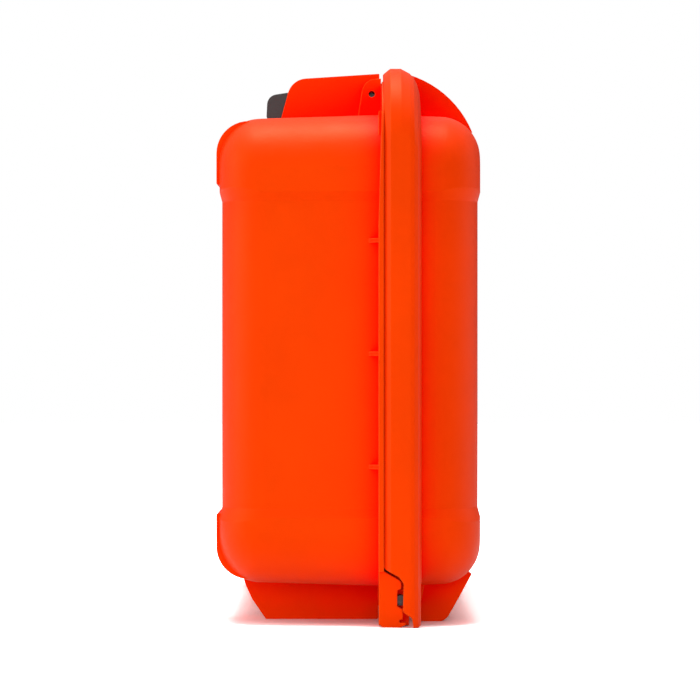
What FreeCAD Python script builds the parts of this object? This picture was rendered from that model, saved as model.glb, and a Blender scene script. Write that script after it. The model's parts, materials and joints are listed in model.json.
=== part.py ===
"""First aid kit in a hard, hinged, watertight case that stands on its hinge side.

Millimetres. +X runs from the case's bottom to its lid, +Y along its length and +Z from the hinge side up
to the handle side. Every shape is modelled with the parting plane at x = 0; save() shifts it by PARTING_X,
so that the origin ends up on the floor, under the middle of the case. Profiles are lists of
(u, v, corner radius), where u and v are x and z unless the helper says otherwise.
"""
import FreeCAD
import Part
import math
import os

Vector = FreeCAD.Vector

# ---- Driving dimensions -------------------------------------------------------------------------------
CASE_LENGTH = 320.0        # over the bead, along Y
CASE_HEIGHT = 231.0        # over the bead, along Z, hinge side down
BASE_DEPTH = 67.4          # parting plane to the bottom's outside
LID_DEPTH = 41.1           # parting plane to the lid's outside
BASE_RIM_X = 0.8           # the base's rim face
LID_RIM_X = 0.92           # the lid's rim face, so that the two never touch

BODY_HALF = 151.0          # half length of the shells where they meet
BODY_LOW = 15.4            # hinge side wall, outside, at the parting plane
BODY_HIGH = 212.0          # handle side wall, outside, at the parting plane
DRAFT = 0.029              # how far the walls lean in per millimetre of depth
WALL = 3.0
HINGE_WALL = 5.0
CORNER_R = 22.0            # shell corners seen from above the lid
EDGE_R = 17.0              # edges between the walls and the broad faces

BELT_LOW, BELT_HIGH = 48.5, 175.5    # recessed belt round the case, between its proud corners
BELT_SLOPE = 3.8                     # height of the slope at either side of the belt
BELT_END = 1.0                       # how deep the belt is in the end walls
BELT_R = 18.7                        # the belt's rounding from the end walls to the broad faces

PAD_PROUD = 1.3            # how far the corner pads stand proud of the bottom
PARTING_X = (BASE_DEPTH + PAD_PROUD - LID_DEPTH) / 2      # where x = 0 ends up once the origin is centred
PANEL_DEEP = 1.8           # the flat panels sunk into the two broad faces
PANEL = (-84.0, 84.0, 52.0, 172.0, 10.0)                  # y and z spans, corner radius

LIP = 1.25                 # the base's rim reaches back to x = -LIP
LIP_HALF = 159.0
LIP_HIGH = 225.5
BEAD = 16.3                # lid bead width along X
BEAD_CORNER_R = 28.0
SEAL_LINE = (150.5, 17.8, 210.3, 20.0)      # the seal's half length, low and high runs, and corner radius

PIN_X, PIN_Z, PIN_R = 7.8, 10.8, 2.2      # hinge pin
PIN_FROM, PIN_TO = 110.4, 150.5           # its ends along Y
KNUCKLE_R = 4.3
RUNNING = 0.05                            # radial clearance in a pin's bore

LATCH_Y = 78.0             # middle of each latch
GUARD_IN, GUARD_OUT = 19.0, 22.0          # guard plate faces, from the latch's middle
LATCH_PIN = (-3.9, 222.1)  # lever pivot
CLAW_PIN = (-14.0, 219.5)  # where the claw hangs on the lever
LATCH_PIN_R, CLAW_PIN_R = 1.3, 1.0
CATCH_TOP = 223.6          # top of the lip on the lid that the claw reaches over
CATCH_GAP = 0.4            # so that the lid swings out under a closed claw
LEVER_HALF = 17.0
SLOT_HALF = 8.3
CLAW_ARM_HALF = 8.0
CLAW_HALF = 14.0
SLIDER_LOW = 220.8         # underside of the lock button

HANDLE_PIN = (-9.0, 218.5)
HANDLE_HALF = 50.0
HANDLE_PIN_R = 2.0
GRIP_HALF = 31.0

BASE_FOOT_Y = (84.0, 107.0)               # the base's feet and the lid's stand side by side
LID_FOOT_Y = (108.0, 120.0)
TRAY_TOP = -12.0                          # the tray's open face
TRAY_GAP = 0.4


# ---- Shape helpers ------------------------------------------------------------------------------------
def box(x0, x1, y0, y1, z0, z1):
    """A box from its lowest to its highest corner."""
    return Part.makeBox(x1 - x0, y1 - y0, z1 - z0, Vector(x0, y0, z0))


def rod(axis, centre, radius, low, high):
    """A cylinder along 'x', 'y' or 'z', from low to high; centre holds its other two coordinates in order."""
    a, b = centre
    start, along = {
        "x": (Vector(low, a, b), Vector(1, 0, 0)),
        "y": (Vector(a, low, b), Vector(0, 1, 0)),
        "z": (Vector(a, b, low), Vector(0, 0, 1)),
    }[axis]
    return Part.makeCylinder(radius, high - low, start, along)


def rounded_wire(corners, place):
    """A closed wire through (u, v, radius) corners; place turns u and v into a point."""
    edges, joins = [], []
    count = len(corners)
    for i, (u, v, radius) in enumerate(corners):
        here = Vector(u, v, 0)
        before = (Vector(*corners[i - 1][:2], 0) - here).normalize()
        after = (Vector(*corners[(i + 1) % count][:2], 0) - here).normalize()
        if radius <= 0:
            joins.append((here, None, here))
            continue
        half = math.acos(max(-1.0, min(1.0, before.dot(after)))) / 2
        reach = radius / math.tan(half)
        bisector = (before + after).normalize()
        middle = here + bisector * (radius / math.sin(half) - radius)
        joins.append((here + before * reach, middle, here + after * reach))
    for i, (enter, middle, leave) in enumerate(joins):
        if middle is not None:
            points = [place(p.x, p.y) for p in (enter, middle, leave)]
            edges.append(Part.Arc(*points).toShape())
        following = joins[(i + 1) % count][0]
        if (following - leave).Length > 1e-6:
            edges.append(Part.makeLine(place(leave.x, leave.y), place(following.x, following.y)))
    return Part.Wire(edges)


def side_plate(corners, y0, y1):
    """A profile of (x, z, radius) corners, drawn out along Y from y0 to y1."""
    wire = rounded_wire(corners, lambda x, z: Vector(x, y0, z))
    return Part.Face(wire).extrude(Vector(0, y1 - y0, 0))


def face_plate(corners, x0, x1):
    """A profile of (y, z, radius) corners, drawn out along X from x0 to x1."""
    wire = rounded_wire(corners, lambda y, z: Vector(x0, y, z))
    return Part.Face(wire).extrude(Vector(x1 - x0, 0, 0))


def flat_plate(corners, z0, z1):
    """A profile of (x, y, radius) corners, drawn out along Z from z0 to z1."""
    wire = rounded_wire(corners, lambda x, y: Vector(x, y, z0))
    return Part.Face(wire).extrude(Vector(0, 0, z1 - z0))


def rectangle(u0, u1, v0, v1, radius):
    """The corners of a rectangle whose corners all have one radius."""
    return [(u0, v0, radius), (u1, v0, radius), (u1, v1, radius), (u0, v1, radius)]


def mirrored(shape):
    """The shape's twin at the other end of the case."""
    return shape.mirror(Vector(0, 0, 0), Vector(0, 1, 0))


def both_ends(*shapes):
    """The shapes and their twins at the other end of the case."""
    return [s for shape in shapes for s in (shape, mirrored(shape))]


def moved(shape, x=0.0, y=0.0, z=0.0):
    copy = shape.copy()
    copy.translate(Vector(x, y, z))
    return copy


def fused(first, *others):
    shape = first.fuse([o for o in others]) if others else first
    return shape.removeSplitter()


def softened(shape, radius, wanted):
    """The shape with those edges rounded for which wanted(edge's bounding box) is true."""
    edges = [e for e in shape.Edges if wanted(e.BoundBox)]
    return shape.makeFillet(radius, edges) if edges else shape


def save(name, *solids):
    """Writes one node from one or more closed solids."""
    shape = solids[0] if len(solids) == 1 else Part.makeCompound(list(solids))
    count = len(shape.Solids)
    if not shape.isValid() or count == 0 or any(s.Volume <= 0 for s in shape.Solids):
        raise ValueError(f"{name} is not made of sound solids")
    shape = moved(shape, x=PARTING_X)
    shape.exportStep(os.path.join("parts", name + ".step"))
    print(f"{name}: {count} solid(s), {shape.Volume / 1000:.1f} cm3")


# ---- Shell blocks shared by the base and the lid --------------------------------------------------------
def block(side, depth, inset=0.0, hinge_inset=None, corner_r=CORNER_R, edge_r=EDGE_R, start=0.0):
    """A drafted, rounded block on one side (-1 base, +1 lid) of the parting plane, inset from the shell."""
    low_inset = inset if hinge_inset is None else hinge_inset

    def section(distance):
        lean = DRAFT * distance
        half = BODY_HALF - inset - lean
        low, high = BODY_LOW + low_inset + lean, BODY_HIGH - inset - lean
        return rounded_wire(
            rectangle(-half, half, low, high, corner_r), lambda y, z: Vector(side * distance, y, z)
        )

    solid = Part.makeLoft([section(start), section(depth)], True, True)
    far = side * depth
    return softened(solid, edge_r, lambda b: abs(b.XMin - far) < 0.01 and abs(b.XMax - far) < 0.01)


def belt_limit(side, depth):
    """A wide block, slimmer between BELT_LOW and BELT_HIGH; a shell is its own block's overlap with it."""
    outside = BODY_HALF + 3.0

    def section(z, recess):
        half = outside if recess == 0 else BODY_HALF - recess
        far = side * (depth + 3.0 if recess == 0 else depth - recess)
        lean = DRAFT * abs(far)
        corners = [
            (-side, -half, 0), (far, -half + lean, BELT_R), (far, half - lean, BELT_R), (-side, half, 0),
        ]
        return rounded_wire(corners, lambda x, y: Vector(x, y, z))

    slope = BELT_SLOPE * (3.0 + BELT_END) / BELT_END
    heights = [
        (-20.0, 0), (BELT_LOW - slope, 0), (BELT_LOW, BELT_END),
        (BELT_HIGH, BELT_END), (BELT_HIGH + slope, 0), (250.0, 0),
    ]
    return Part.makeLoft([section(z, r) for z, r in heights], True, True)


def shell_outside(side, depth):
    return block(side, depth).common(belt_limit(side, depth))


# ---- Base ---------------------------------------------------------------------------------------------
def base_rim():
    """The thin lip round the base's opening, its gussets and its hinge side run."""
    half, low = LIP_HALF, 23.2
    lip = face_plate(
        [(-half, low, 0), (half, low, 0), (half, LIP_HIGH, 26.0), (-half, LIP_HIGH, 26.0)], -LIP, BASE_RIM_X)
    thinned = side_plate(
        [(-LIP, 165.0, 0), (0.1, BODY_HIGH, 0), (0.1, 240.0, 0), (-3.0, 240.0, 0), (-3.0, 165.0, 0)],
        BODY_HALF - 4.0, LIP_HALF + 1.0)
    thinned_top = box(-3.0, 0.1, -LIP_HALF - 1.0, LIP_HALF + 1.0, BODY_HIGH + 0.5, 240.0)
    lip = lip.cut([thinned_top, *both_ends(thinned)])
    hinge_run = face_plate(rectangle(-150.6, 150.6, 8.0, 60.0, 2.0), -LIP, BASE_RIM_X)
    gussets = []
    for z in (65.8, 112.4, 159.0):
        corners = [(-LIP, -157.0, 0), (-LIP, -148.0, 0), (-6.5, -148.0, 0), (-3.6, -152.4, 0)]
        gussets += both_ends(flat_plate(corners, z - 0.8, z + 0.8))
    return [lip, hinge_run, *gussets]


def corner_pads():
    """Four low pads that wrap the bottom's corners and carry the case when it lies flat."""
    proud = -BASE_DEPTH - PAD_PROUD
    upper = [
        (proud, 182.5, 1.0), (proud, 209.2, 13.5), (-55.0, 209.2, 0), (-50.0, 200.0, 0), (-50.0, 182.5, 0),
    ]
    lower = [
        (proud, 46.0, 1.0), (-50.0, 46.0, 0), (-50.0, 26.0, 0), (-55.0, 18.6, 0), (proud, 18.6, 13.5),
    ]
    return both_ends(*[side_plate(profile, 94.0, 134.0) for profile in (upper, lower)])


def hinge_end_block():
    """The block that closes the hinge at each end of the base, notched open at the pin, and its backing."""
    profile = [
        (-1.2, 0.0, 2.5), (7.6, 0.0, 0.6), (11.6, 1.9, 0.5), (7.2, 1.9, 0), (7.2, 3.3, 0.6), (8.5, 3.3, 0),
        (8.5, 7.2, 0), (6.3, 8.7, 0.6), (6.3, 15.4, 0.8), (7.9, 15.9, 0), (7.9, 18.9, 2.5),
        (0.5, 23.2, 0), (-1.2, 23.2, 0),
    ]
    block_room = block(1, LID_DEPTH, inset=-0.5, start=-0.1)
    return side_plate(profile, 146.0, 155.0).cut(block_room).fuse(box(-LIP, 11.3, 134.5, 146.5, 0.3, 6.8))


def knuckle(side, y0, y1):
    """A hinge knuckle of the base (-1) or the lid (+1), with the wall or web that carries it."""
    barrel = rod("y", (PIN_X, PIN_Z), KNUCKLE_R, y0, y1)
    if side < 0:
        arm = box(-LIP, PIN_X, y0, y1, PIN_Z - KNUCKLE_R, PIN_Z + KNUCKLE_R)
    else:
        arm = side_plate(
            [(PIN_X - 2, PIN_Z, 0), (PIN_X, PIN_Z - KNUCKLE_R, 0), (16.0, PIN_Z - KNUCKLE_R, 2.0),
             (18.0, 17.0, 0), (PIN_X - 2, 17.0, 0)], y0, y1)
    return barrel.fuse(arm)


def pin_bore(y0, y1):
    return rod("y", (PIN_X, PIN_Z), PIN_R + RUNNING, y0, y1)


def base_foot():
    profile = [
        (-59.0, 20.0, 0), (-57.3, 14.4, 0), (-54.4, 8.2, 6.0), (-48.7, 0.0, 0.8), (-1.2, 0.0, 0.8),
        (-1.2, 20.0, 0),
    ]
    return side_plate(profile, *BASE_FOOT_Y)


def guard_plates(profile):
    """Two plates, either side of each latch."""
    outer = side_plate(profile, LATCH_Y + GUARD_IN, LATCH_Y + GUARD_OUT)
    inner = side_plate(profile, LATCH_Y - GUARD_OUT, LATCH_Y - GUARD_IN)
    return both_ends(outer, inner)


def latch_ear():
    """The thick boss on each outer guard that takes the lever's pin."""
    profile = [(-9.6, 206.0, 0), (-9.6, 213.0, 0), (-7.2, 228.4, 6.0), (0.0, 228.6, 0), (0.0, 206.0, 0)]
    return side_plate(profile, LATCH_Y + GUARD_OUT - 0.5, LATCH_Y + GUARD_OUT + 10.0)


def handle_ears():
    """Four lugs that carry the handle's two pins."""
    x, z = HANDLE_PIN
    profile = [(x - 7.0, 205.0, 0), (x - 4.5, z + 4.5, 4.4), (x + 4.5, z + 4.5, 4.4), (x + 6.0, 205.0, 0)]
    ears = [side_plate(profile, y, y + 4.0) for y in (HANDLE_HALF + 0.5, HANDLE_HALF - 13.0)]
    return both_ends(*ears)


def latch_bay(x0, x1, low):
    """The gap between a latch's guards from x0 to x1, cut down to low."""
    return box(x0, x1, LATCH_Y - GUARD_IN, LATCH_Y + GUARD_IN, low, CASE_HEIGHT + 5)


def make_base():
    outside = shell_outside(-1, BASE_DEPTH)
    knuckles = [knuckle(-1, 110.0, 118.0), knuckle(-1, 133.0, 145.6)]
    guard = [(-0.6, 205.0, 0), (-0.6, 231.4, 0.4), (-37.9, 229.0, 8.3), (-43.6, 208.0, 0), (-43.6, 205.0, 0)]
    parts = base_rim() + corner_pads() + both_ends(hinge_end_block(), base_foot(), latch_ear(), *knuckles)
    parts += guard_plates(guard) + handle_ears()
    shell = outside.fuse(parts)
    panel = face_plate(rectangle(*PANEL), -BASE_DEPTH - 1, -BASE_DEPTH + PANEL_DEEP)
    hollow = block(-1, BASE_DEPTH - WALL, WALL, HINGE_WALL, CORNER_R - WALL, EDGE_R - WALL, start=-1.0)
    tools = [hollow, panel]
    tools += both_ends(
        pin_bore(105.0, PIN_TO + 0.5),
        latch_bay(-30.0, 1.0, 213.0),
        rod("y", LATCH_PIN, LATCH_PIN_R + RUNNING, LATCH_Y - 30, LATCH_Y + 40),
        rod("y", HANDLE_PIN, HANDLE_PIN_R + RUNNING, HANDLE_HALF - 20, HANDLE_HALF + 4.6),
    )
    tools.append(rod("z", VALVE_AT, VALVE_R + RUNNING, 190.0, 225.0))
    return shell.cut(tools).removeSplitter()


# ---- Lid ----------------------------------------------------------------------------------------------
def bead_body():
    """The bead round the lid's rim: it swells out of the parting plane and sinks back into the wall."""
    end, top = CASE_LENGTH / 2, CASE_HEIGHT
    stations = [
        (LID_RIM_X, end - 2.2, top - 2.0), (3.6, end, top), (8.0, end, top), (11.7, end - 0.1, top - 2.0),
        (13.3, end - 0.4, top - 3.6), (14.8, end - 1.4, top - 6.5), (15.8, end - 3.2, top - 10.1),
        (BEAD, end - 6.3, top - 15.1),
    ]
    wires = []
    for x, half, high in stations:
        corners = [
            (-half, 0.0, 1.0), (half, 0.0, 1.0), (half, high, BEAD_CORNER_R), (-half, high, BEAD_CORNER_R),
        ]
        wires.append(rounded_wire(corners, lambda y, z, x=x: Vector(x, y, z)))
    return Part.makeLoft(wires, True, True)


def bead_end_cut():
    """What the base's hinge block, and the room to swing past it, take out of each end of the bead."""
    swept = [
        (-5.0, -1.0, 0), (13.0, -1.0, 0), (12.4, 4.2, 2.5), (8.6, 6.6, 1.5), (8.9, 18.4, 3.0),
        (7.0, 20.9, 3.0), (0.9, 24.2, 3.0), (-0.1, 29.0, 0), (-5.0, 29.0, 0),
    ]
    low_corner = box(13.9, 20.0, 140.0, 162.0, -1.0, 2.4).cut(rod("y", (13.9, 2.4), 2.4, 139.0, 163.0))
    return [side_plate(swept, 140.0, 162.0), box(-5.0, 25.0, 140.0, 155.5, -1.0, 18.0), low_corner]


def core_outs():
    """Pockets moulded into the handle side of the bead, with ribs left between them."""
    pockets = []
    for y0, y1 in ((3.0, 27.0), (29.5, 52.5), (104.0, 128.0)):
        pockets += both_ends(box(LID_RIM_X - 1, 9.0, y0, y1, 214.8, 226.8))
    return pockets


def lid_foot():
    profile = [
        (16.0, 22.0, 0), (16.0, 0.0, 0.8), (27.0, 0.0, 5.0), (32.3, 9.3, 0), (38.0, 19.8, 0), (34.0, 22.0, 0),
    ]
    return side_plate(profile, *LID_FOOT_Y)


def lid_guard_profile():
    """Straight behind the bead, then one arc down to the lid's face."""
    y = 0.0
    start, end = Vector(12.0, y, 231.0), Vector(38.9, y, 206.5)
    edges = [
        Part.makeLine(Vector(0.5, y, 204.0), Vector(0.5, y, 231.0)),
        Part.makeLine(Vector(0.5, y, 231.0), start),
        Part.Arc(start, Vector(28.2, y, 221.8), end).toShape(),
        Part.makeLine(end, Vector(30.0, y, 204.0)),
        Part.makeLine(Vector(30.0, y, 204.0), Vector(0.5, y, 204.0)),
    ]
    return Part.Face(Part.Wire(edges))


def lid_guards():
    profile = lid_guard_profile()
    plates = []
    for y in (LATCH_Y + GUARD_IN, LATCH_Y - GUARD_OUT):
        plates.append(moved(profile.extrude(Vector(0, GUARD_OUT - GUARD_IN, 0)), y=y))
    return both_ends(*plates)


def seal_ring(half_width, x0, x1):
    """A band that follows the rim at the seal's centre line."""
    half, low, high, radius = SEAL_LINE
    w = half_width
    outer = face_plate(rectangle(-half - w, half + w, low - w, high + w, radius + w), x0, x1)
    inner = face_plate(rectangle(-half + w, half - w, low + w, high - w, radius - w), x0 - 1, x1 + 1)
    return outer.cut(inner)


def make_lid():
    outside = shell_outside(1, LID_DEPTH)
    bead = bead_body()
    bead = bead.cut([box(-5.0, 25.0, -140.0, 140.0, -1.0, BODY_LOW + 6)] + both_ends(*bead_end_cut()))
    hinge_lip = face_plate(rectangle(-108.0, 108.0, 10.2, 30.0, 0.5), LID_RIM_X, 3.6)
    catch = side_plate([(6.3, 205.0, 0), (6.3, CATCH_TOP, 1.2), (9.5, CATCH_TOP, 0.6), (9.5, 205.0, 0)],
                       LATCH_Y - GUARD_IN, LATCH_Y + GUARD_IN)
    bay = latch_bay(-1.0, 20.0, 218.6)
    bead = bead.cut(both_ends(bay) + core_outs())
    parts = [bead, hinge_lip] + both_ends(lid_foot(), knuckle(1, 118.4, 132.6), catch) + lid_guards()
    shell = outside.fuse(parts)
    panel = face_plate(rectangle(*PANEL), LID_DEPTH - PANEL_DEEP, LID_DEPTH + 1)
    tools = [
        block(1, LID_DEPTH - WALL, WALL, HINGE_WALL, CORNER_R - WALL, EDGE_R - WALL, start=-1.0),
        box(-2.0, LID_RIM_X, -170.0, 170.0, -5.0, 240.0),
        seal_ring(1.2, 0.0, LID_RIM_X + 2.5),
        panel,
    ]
    base_arm_room = [
        rod("y", (PIN_X, PIN_Z), KNUCKLE_R + 0.4, y0, y1) for y0, y1 in ((109.6, 118.4), (132.6, 146.0))
    ]
    tools += both_ends(pin_bore(105.0, 140.0), *base_arm_room)
    return shell.cut(tools).removeSplitter()


# ---- Latches ------------------------------------------------------------------------------------------
def latch_lever():
    """The pull lever, modelled round y = 0."""
    px, pz = LATCH_PIN
    cheek = side_plate(
        [(px + 2.0, pz + 3.6, 2.0), (-22.0, 225.2, 10.0), (-36.5, 224.2, 12.0), (-48.3, 222.4, 4.5),
         (-48.8, 212.2, 1.5), (-20.0, 212.2, 3.0), (-9.0, 217.2, 2.0), (px + 2.0, pz - 4.0, 2.0)],
        -LEVER_HALF, LEVER_HALF)
    lever = cheek.fuse(rod("y", LATCH_PIN, 4.0, -LEVER_HALF, LEVER_HALF))
    hollow = box(-44.5, -24.5, -LEVER_HALF + 2.5, LEVER_HALF - 2.5, 205.0, 218.0)
    slot = box(-25.0, 10.0, -SLOT_HALF, SLOT_HALF, 200.0, 240.0)
    pocket = box(-43.2, -28.8, -6.2, 6.2, SLIDER_LOW - 0.2, 230.0)
    bores = [
        rod("y", LATCH_PIN, LATCH_PIN_R + RUNNING, -30, 30),
        rod("y", CLAW_PIN, CLAW_PIN_R + RUNNING, -12.0, 12.0),
    ]
    return lever.cut([hollow, slot, pocket, *bores])


def latch_claw():
    """The hooked link that holds the lid shut, modelled round y = 0; its tip is CATCH_GAP above the catch."""
    qx, qz = CLAW_PIN
    tip = CATCH_TOP + CATCH_GAP
    under = tip + 1.3
    top = under + 3.0
    arm = side_plate(
        [(qx - 2.6, qz + 1.0, 0), (qx + 1.5, qz - 2.4, 0), (-8.6, under, 1.0), (2.0, under, 0), (2.0, top, 0),
         (-9.4, top, 2.0)],
        -CLAW_ARM_HALF, CLAW_ARM_HALF)
    hook = side_plate(
        [(1.2, under, 0), (10.0, under, 0.5), (10.0, tip, 0.6), (13.0, tip, 1.0), (13.0, top, 2.4),
         (1.2, top, 0)],
        -CLAW_HALF, CLAW_HALF)
    eye = rod("y", CLAW_PIN, 2.8, -CLAW_ARM_HALF, CLAW_ARM_HALF)
    return arm.fuse([hook, eye]).cut(rod("y", CLAW_PIN, CLAW_PIN_R + RUNNING, -20, 20)).removeSplitter()


def latch_slider():
    """The lock button that slides along the lever, with thumb ridges."""
    top = SLIDER_LOW + 2.6
    body = box(-43.0, -33.0, -6.0, 6.0, SLIDER_LOW, top)
    ridges = [rod("y", (x, top), 0.7, -5.0, 5.0) for x in (-40.5, -38.0, -35.5)]
    return body.fuse(ridges)


def make_latch(side, label):
    """One latch's four nodes; side is -1 or +1, the end of the case that it is nearer to."""
    y = side * LATCH_Y
    save(f"latch_lever_{label}", moved(latch_lever(), y=y))
    save(f"latch_claw_{label}", moved(latch_claw(), y=y))
    save(f"latch_slider_{label}", moved(latch_slider(), y=y))
    save(f"latch_claw_pin_{label}", rod("y", CLAW_PIN, CLAW_PIN_R, y - 11.5, y + 11.5))


# ---- Handle -------------------------------------------------------------------------------------------
HANDLE_OUT, HANDLE_IN = -47.6, -33.4      # the crossbar's edges along X
HANDLE_LOW, HANDLE_HIGH = 212.6, 221.4


def make_handle():
    px = HANDLE_PIN[0]
    half = HANDLE_HALF
    outline = flat_plate(
        [(px, -half, 0), (HANDLE_OUT, -half, 12.0), (HANDLE_OUT, half, 12.0), (px, half, 0)],
        HANDLE_LOW, HANDLE_HIGH)
    opening = flat_plate(
        [(10.0, -41.4, 0), (HANDLE_IN, -41.4, 8.0), (HANDLE_IN, 41.4, 8.0), (10.0, 41.4, 0)], 200.0, 230.0)
    eyes = [rod("y", HANDLE_PIN, 4.4, y0, y0 + 8.6) for y0 in (-half, 41.4)]
    bow = outline.cut(opening).fuse(eyes)
    waist = flat_plate(
        [(HANDLE_OUT + 2.0, -GRIP_HALF, 0), (HANDLE_IN - 2.0, -GRIP_HALF, 0), (HANDLE_IN - 2.0, GRIP_HALF, 0),
         (HANDLE_OUT + 2.0, GRIP_HALF, 0)], HANDLE_LOW + 2.0, HANDLE_HIGH - 2.0)
    around_grip = box(-60.0, HANDLE_IN + 1.0, -GRIP_HALF, GRIP_HALF, 200.0, 230.0)
    bow = bow.cut(around_grip).fuse(waist)
    bow = bow.cut(rod("y", HANDLE_PIN, HANDLE_PIN_R + RUNNING, -60, 60))
    sleeve = rectangle(HANDLE_OUT - 0.6, HANDLE_IN + 0.6, HANDLE_LOW - 0.6, HANDLE_HIGH + 0.6, 4.0)
    grip = side_plate(sleeve, -GRIP_HALF, GRIP_HALF)
    save("handle_bow", bow.removeSplitter())
    save("handle_grip", grip.cut(waist))
    pins = [rod("y", HANDLE_PIN, HANDLE_PIN_R, HANDLE_HALF - 13.0, HANDLE_HALF + 4.4)]
    save("handle_pins", *both_ends(*pins))


# ---- Pressure valve -----------------------------------------------------------------------------------
VALVE_AT = (-20.0, 0.0)
VALVE_R = 6.0


def make_valve():
    seat = BODY_HIGH
    body = rod("z", VALVE_AT, VALVE_R, seat - 12.5, seat).fuse(rod("z", VALVE_AT, 8.6, seat, seat + 1.6))
    body = body.cut(rod("z", VALVE_AT, 2.5, 190.0, 230.0))
    nut_outline = [
        (VALVE_AT[0] + 9.5 * math.cos(math.radians(a)), VALVE_AT[1] + 9.5 * math.sin(math.radians(a)), 0)
        for a in range(0, 360, 60)
    ]
    nut = flat_plate(nut_outline, seat - 9.4, seat - 4.4)
    nut = nut.cut(rod("z", VALVE_AT, VALVE_R + RUNNING, 190.0, 230.0))
    cap = rod("z", VALVE_AT, 7.6, seat + 2.0, seat + 4.8)
    slots = [
        moved(box(-12.0, 12.0, -0.7, 0.7, seat + 4.0, seat + 6.0), x=VALVE_AT[0], y=y)
        for y in (-3.0, 0.0, 3.0)
    ]
    save("valve_body", body)
    save("valve_nut", nut)
    save("valve_membrane", rod("z", VALVE_AT, 5.4, seat + 1.6, seat + 2.0))
    save("valve_cap", cap.cut(slots))


# ---- Emblem and lining --------------------------------------------------------------------------------
EMBLEM_MIDDLE = 112.0
EMBLEM_HALF = 34.0


def cross_outline(reach, arm):
    """The twelve corners of an equal-armed cross round the emblem's middle."""
    c = EMBLEM_MIDDLE
    steps = [(-arm, -reach), (arm, -reach), (arm, -arm), (reach, -arm), (reach, arm), (arm, arm),
             (arm, reach), (-arm, reach), (-arm, arm), (-reach, arm), (-reach, -arm), (-arm, -arm)]
    return [(y, c + z, 0) for y, z in steps]


def make_emblem():
    floor = LID_DEPTH - PANEL_DEEP
    c, h = EMBLEM_MIDDLE, EMBLEM_HALF
    plate = face_plate(rectangle(-h, h, c - h, c + h, 6.0), floor, floor + 0.9)
    cross = face_plate(cross_outline(24.0, 8.0), floor + 0.5, floor + 1.2)
    save("emblem_plate", plate.cut(cross))
    save("emblem_cross", cross)


def make_lining():
    lining = block(1, LID_DEPTH - WALL - TRAY_GAP, WALL + TRAY_GAP, HINGE_WALL + TRAY_GAP,
                   CORNER_R - WALL, EDGE_R - WALL, start=16.0)
    save("lid_foam", lining)


# ---- Supplies and their tray --------------------------------------------------------------------------
POCKET_GAP = 1.0           # between an item and its pocket
ROLL_AT, ROLL_R = (-35.0, -38.0), 21.0
ROLL_SPANS = ((28.0, 98.0), (106.0, 176.0))
POD_R, POD_SPAN = 8.8, (28.0, 104.0)
POD_X, POD_Y = (-43.0, -24.5), (-3.2, 15.2)
POD_TAB = 15.0             # the twist-off tab's length
TAPE_AT, TAPE_R, TAPE_CORE_R, TAPE_X = (8.0, 165.0), 24.0, 13.0, (-42.0, -16.0)
PACK_Y = (41.0, 139.0)
GAUZE_COUNT, GAUZE_PITCH, GAUZE_THICK = 4, 19.5, 19.1
GAUZE_LOW, GAUZE_X = 120.0, (-48.0, -17.0)
PACK_X = (-46.0, -16.0)
TRIANGULAR_SPAN, FOIL_SPAN = (74.0, 112.0), (28.0, 66.0)
TWEEZERS_Y, TWEEZERS_Z, TWEEZERS_X = (-73.0, -64.2), (60.0, 172.0), (-26.0, -17.5)

SCISSORS_PIVOT = (-110.5, 112.0)
SCISSORS_X = ((-21.0, -17.55), (-17.45, -14.0))    # the fixed and the moving blade
SCISSORS_RIVET_R = 2.0
SCISSORS_LOOP = (12.0, -46.0)                      # a finger loop's centre, from the pivot
SCISSORS_LOOP_R, SCISSORS_HOLE_R = 12.0, 8.0
SCISSORS_TILT = 12.5                               # they lie turned by half of their opening angle


def scissors_half(lean):
    """One blade with its loop; lean is +1 (fixed) or -1 (moving), the side on which its loop lies."""
    y, z = SCISSORS_PIVOT
    near, far = SCISSORS_X[0] if lean > 0 else SCISSORS_X[1]

    def corner(across, up, radius):
        return (y + lean * across, z + up, radius)

    blade = face_plate(
        [corner(-5.0, -8.0, 2.0), corner(-7.0, 10.0, 6.0), corner(-3.2, 60.0, 1.6), corner(1.2, 60.0, 1.0),
         corner(5.0, -8.0, 2.0)], near, far)
    shank = face_plate(
        [corner(-5.0, -2.0, 2.0), corner(5.0, 3.0, 2.0), corner(16.0, -34.0, 2.0), corner(8.0, -37.0, 2.0)],
        near, far)
    loop_at = (y + lean * SCISSORS_LOOP[0], z + SCISSORS_LOOP[1])
    half = blade.fuse([shank, rod("x", loop_at, SCISSORS_LOOP_R, near, far)])
    half = half.cut([
        rod("x", loop_at, SCISSORS_HOLE_R, near - 1, far + 1),
        rod("x", SCISSORS_PIVOT, SCISSORS_RIVET_R + RUNNING, near - 1, far + 1),
    ])
    half.rotate(Vector(0, y, z), Vector(1, 0, 0), SCISSORS_TILT)
    return half.removeSplitter()


def make_scissors():
    save("scissors_fixed_blade", scissors_half(1))
    save("scissors_moving_blade", scissors_half(-1))
    low, high = SCISSORS_X[0][0], SCISSORS_X[1][1]
    rivet = rod("x", SCISSORS_PIVOT, SCISSORS_RIVET_R, low - 1.0, high + 1.0)
    heads = [rod("x", SCISSORS_PIVOT, 3.6, x - 0.5, x + 0.5) for x in (low - 0.6, high + 0.6)]
    save("scissors_rivet", rivet.fuse(heads).removeSplitter())


def make_tweezers():
    y0, y1 = TWEEZERS_Y
    z0, z1 = TWEEZERS_Z
    near, far = TWEEZERS_X
    middle = (y0 + y1) / 2
    arms = []
    for side in (-1, 1):
        outside = middle + side * 4.4
        corners = [(outside, z1, 0), (outside - side * 1.2, z1, 0), (outside - side * 1.2, z0 + 50.0, 0),
                   (middle + side * 0.3, z0, 0), (middle + side * 1.5, z0, 0), (outside, z0 + 50.0, 0)]
        arms.append(face_plate(corners, near, far))
    bridge = face_plate(rectangle(middle - 4.4, middle + 4.4, z1 - 1.0, z1 + 3.0, 1.4), near, far)
    save("tweezers", fused(*arms, bridge))


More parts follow.
